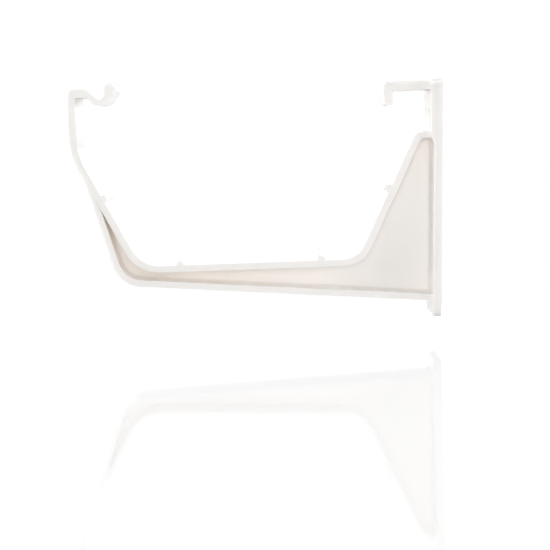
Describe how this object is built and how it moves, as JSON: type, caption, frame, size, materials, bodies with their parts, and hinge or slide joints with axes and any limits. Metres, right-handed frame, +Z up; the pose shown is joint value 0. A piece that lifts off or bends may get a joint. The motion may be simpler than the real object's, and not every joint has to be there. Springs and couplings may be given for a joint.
{
  "type": "gutter bracket",
  "caption": "White plastic fascia bracket that cradles a trapezoidal gutter between a screwed back plate with a lip and a front arm with a snap hook.",
  "frame": {"origin": "centre of the back plate's wall face", "axes": "+X out of the wall face, into the wall; +Y along the gutter; +Z up"},
  "size_m": [0.1611, 0.034, 0.1028],
  "materials": {
    "gutter_bracket": "semi-gloss white uPVC, as moulded"
  },
  "bodies": {
    "root": {"gutter_bracket": "gutter_bracket"}
  },
  "joints": []
}
